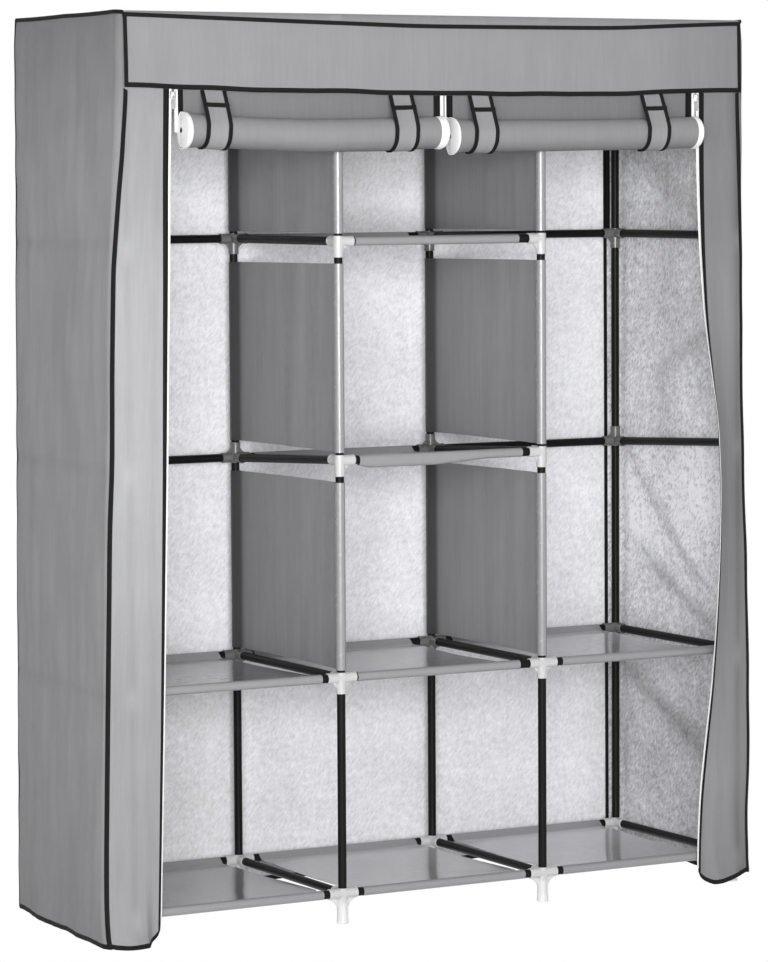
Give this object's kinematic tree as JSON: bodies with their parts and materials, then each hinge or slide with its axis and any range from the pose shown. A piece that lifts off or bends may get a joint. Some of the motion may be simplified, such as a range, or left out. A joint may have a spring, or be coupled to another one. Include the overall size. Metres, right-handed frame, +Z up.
{
  "type": "portable fabric wardrobe",
  "caption": "Tall portable wardrobe: push-fit tube frame with fabric shelves and hanging bays inside a sewn cover, its doors rolled up and strapped under the valance.",
  "frame": {"origin": "middle of the footprint on the floor, at the bottom of the legs", "axes": "+Z up, +X to the right seen from the front, front towards -Y"},
  "size_m": [1.2818, 0.4884, 1.5857],
  "materials": {
    "coated_tube": "semi-gloss black coating on steel tube",
    "shelf_cloth": "smooth coated non-woven with a soft sheen",
    "partition_cloth": "smooth non-woven, dull",
    "cover_cloth": "pressed non-woven with black bound edges and a pale inner face",
    "zip_metal": "satin nickel plating on zinc"
  },
  "bodies": {
    "wardrobe": {"frame_left": "coated_tube", "frame_centre_left": "coated_tube", "frame_centre_right": "coated_tube", "frame_right": "coated_tube", "rail_bottom_front_left": "coated_tube", "rail_bottom_front_centre": "coated_tube", "rail_bottom_front_right": "coated_tube", "rail_bottom_back_left": "coated_tube", "rail_bottom_back_centre": "coated_tube", "rail_bottom_back_right": "coated_tube", "rail_lower_front_left": "coated_tube", "rail_lower_front_centre": "coated_tube", "rail_lower_front_right": "coated_tube", "rail_lower_back_left": "coated_tube", "rail_lower_back_centre": "coated_tube", "rail_lower_back_right": "coated_tube", "rail_middle_front_centre": "coated_tube", "rail_middle_back_left": "coated_tube", "rail_middle_back_centre": "coated_tube", "rail_middle_back_right": "coated_tube", "rail_upper_front_centre": "coated_tube", "rail_upper_back_left": "coated_tube", "rail_upper_back_centre": "coated_tube", "rail_upper_back_right": "coated_tube", "rail_top_front_left": "coated_tube", "rail_top_front_centre": "coated_tube", "rail_top_front_right": "coated_tube", "rail_top_back_left": "coated_tube", "rail_top_back_centre": "coated_tube", "rail_top_back_right": "coated_tube", "hanging_rod_left": "coated_tube", "hanging_rod_right": "coated_tube", "shelf_bottom_left": "shelf_cloth", "shelf_bottom_centre": "shelf_cloth", "shelf_bottom_right": "shelf_cloth", "shelf_lower_left": "shelf_cloth", "shelf_lower_centre": "shelf_cloth", "shelf_lower_right": "shelf_cloth", "shelf_middle_centre": "shelf_cloth", "shelf_upper_centre": "shelf_cloth", "partition_lower_left": "partition_cloth", "partition_lower_right": "partition_cloth", "partition_middle_left": "partition_cloth", "partition_middle_right": "partition_cloth", "partition_upper_left": "partition_cloth", "partition_upper_right": "partition_cloth", "cover_left": "cover_cloth", "cover_right": "cover_cloth", "cover_back": "cover_cloth", "cover_top": "cover_cloth", "door_left": "cover_cloth", "door_right": "cover_cloth", "strap_left_outer": "cover_cloth", "strap_left_inner": "cover_cloth", "strap_right_inner": "cover_cloth", "strap_right_outer": "cover_cloth"},
    "slider_left": {"zip_slider_left": "zip_metal"},
    "pull_left": {"zip_pull_left": "zip_metal"},
    "slider_right": {"zip_slider_right": "zip_metal"},
    "pull_right": {"zip_pull_right": "zip_metal"}
  },
  "joints": [
    {"name": "zip_left_slide", "type": "slide", "parent": "wardrobe", "child": "slider_left", "axis": [-0.0215, 0, -0.9998], "range_m": [0, 1.41]},
    {"name": "zip_left_pull_hinge", "type": "hinge", "parent": "slider_left", "child": "pull_left", "pos_m": [-0.52751, -0.20488, 1.4429], "axis": [0.9998, 0, -0.0215], "range_deg": [-165, 0]},
    {"name": "zip_right_slide", "type": "slide", "parent": "wardrobe", "child": "slider_right", "axis": [0, 0, -1], "range_m": [0, 1.41]},
    {"name": "zip_right_pull_hinge", "type": "hinge", "parent": "slider_right", "child": "pull_right", "pos_m": [0.5245, -0.20488, 1.4429], "axis": [1, 0, 0], "range_deg": [-165, 0]}
  ]
}
